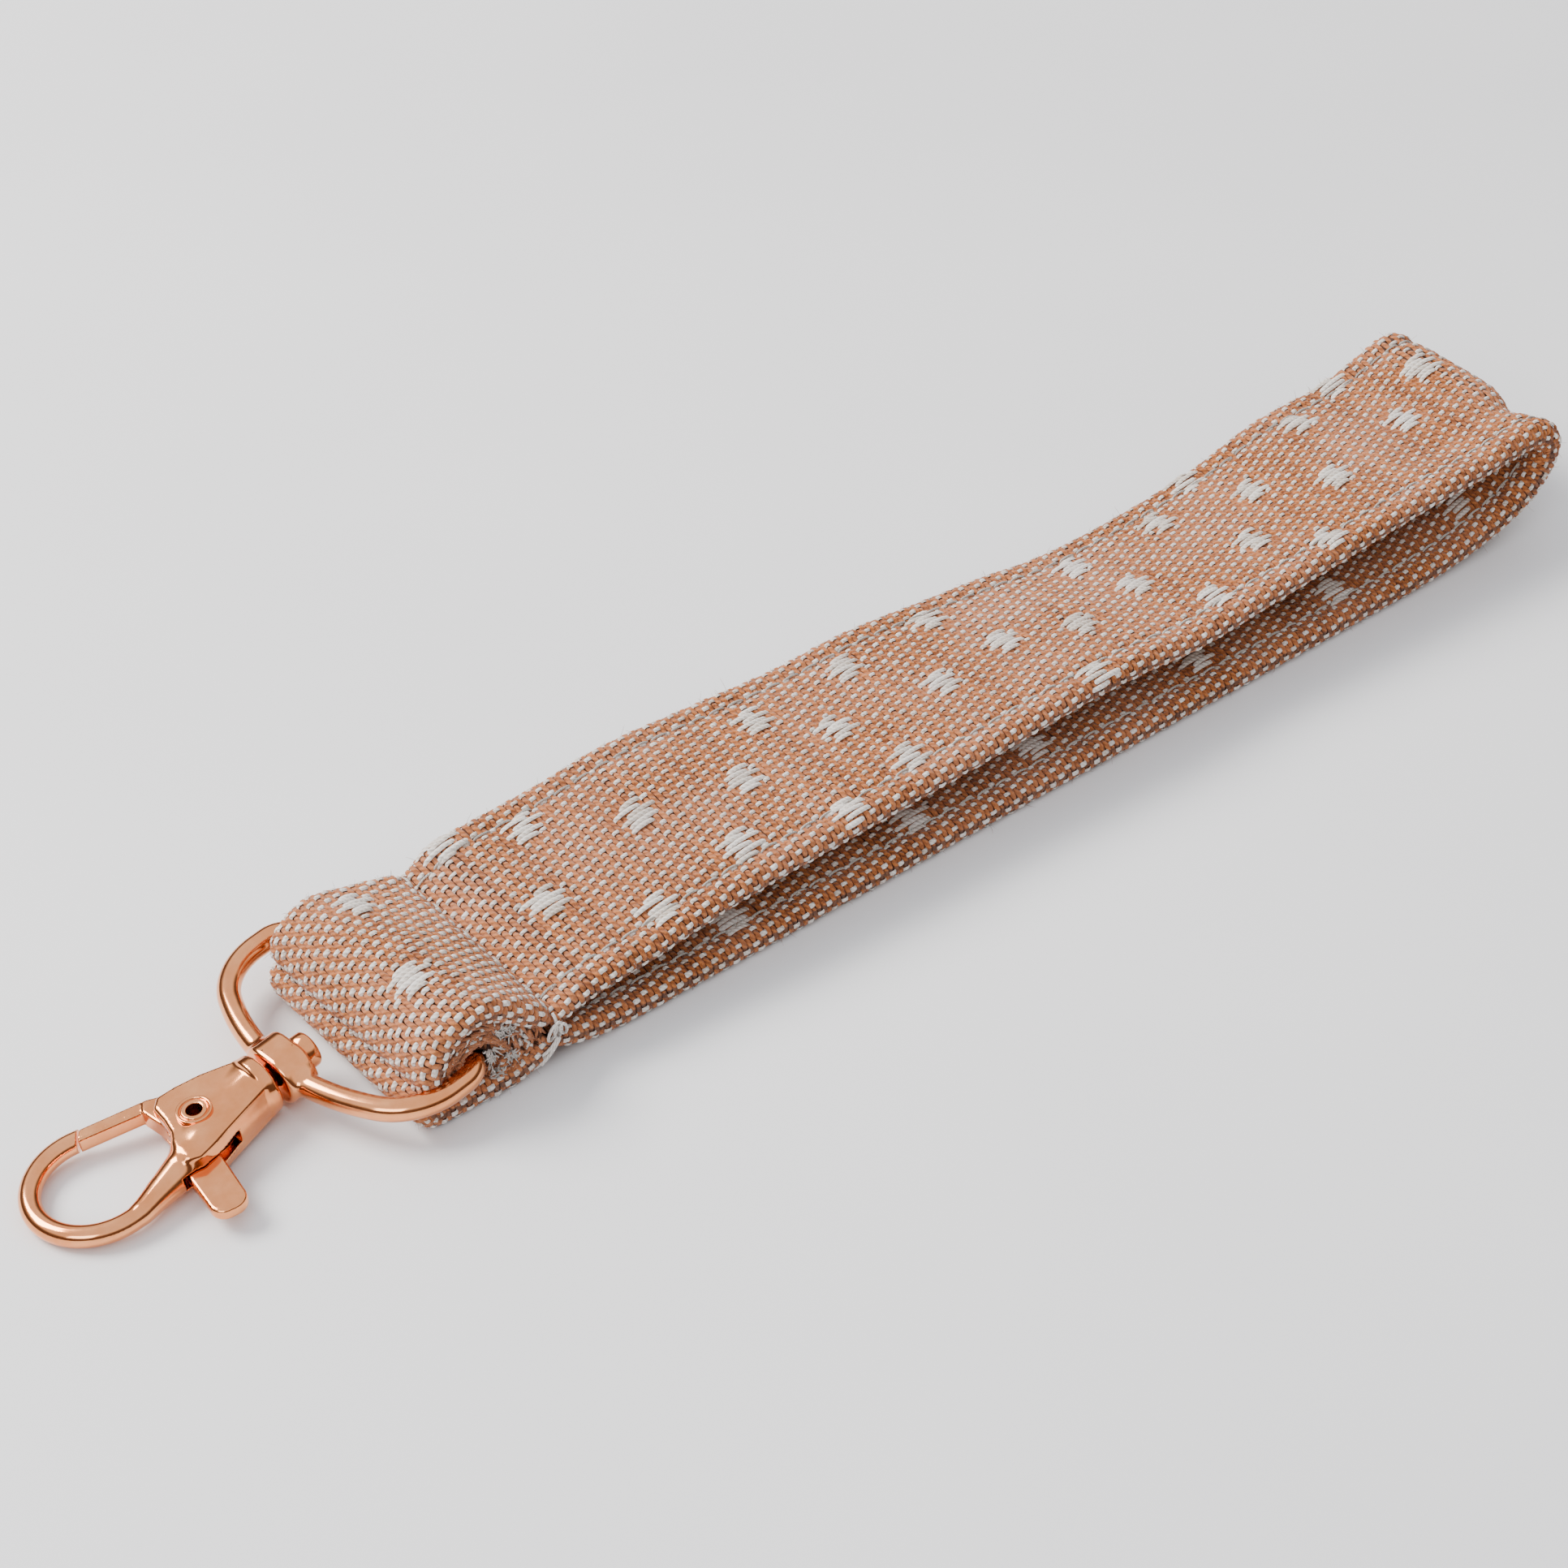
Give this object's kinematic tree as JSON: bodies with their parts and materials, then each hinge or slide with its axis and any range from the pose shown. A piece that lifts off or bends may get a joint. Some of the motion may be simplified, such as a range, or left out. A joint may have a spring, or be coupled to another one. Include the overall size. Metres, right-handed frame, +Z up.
{
  "type": "wristlet keychain",
  "caption": "Fabric wrist loop sewn round a D ring that carries a swivelling lobster snap hook with a sprung gate, for holding keys at the wrist.",
  "frame": {"origin": "on the surface that the wristlet lies on, under the middle of its box", "axes": "+X along the strap from the snap hook to the far fold, +Y across it, +Z up from the surface"},
  "size_m": [0.233, 0.0392, 0.0177],
  "materials": {
    "woven_fabric": "coarse two-colour weave",
    "felt": "soft needled felt",
    "thread": "spun polyester",
    "rose_gold": "polished plating",
    "spring_steel": "drawn wire"
  },
  "bodies": {
    "strap": {"strap_upper_run": "woven_fabric", "strap_far_fold": "woven_fabric", "strap_lower_run": "woven_fabric", "strap_interlining": "felt", "pocket_wrap": "woven_fabric", "upper_raw_end": "woven_fabric", "lower_raw_end": "woven_fabric", "near_topstitching": "thread", "far_topstitching": "thread", "throat_stitching": "thread", "thread_knot": "thread"},
    "ring": {"d_ring": "rose_gold"},
    "hook": {"hook_body": "rose_gold", "swivel_pin": "rose_gold", "pivot_rivet": "rose_gold", "gate_spring": "spring_steel"},
    "gate": {"gate_lever": "rose_gold"}
  },
  "joints": [
    {"name": "d_ring_pivot", "type": "hinge", "parent": "strap", "child": "ring", "pos_m": [-0.06817, 0.00046, 0.00577], "axis": [-0.1132, 0.9936, 0], "range_deg": [-130, 140]},
    {"name": "hook_swivel", "type": "hinge", "parent": "ring", "child": "hook", "pos_m": [-0.0832, -0.00125, 0.00433], "axis": [0.9891, 0.1127, 0.0947], "continuous": true},
    {"name": "gate_pivot", "type": "hinge", "parent": "hook", "child": "gate", "pos_m": [-0.09487, -0.00258, 0.00321], "axis": [-0.094, -0.0107, 0.9955], "range_deg": [0, 30], "stiffness_Nm_per_rad": 0.03, "springref_deg": -17.19}
  ]
}
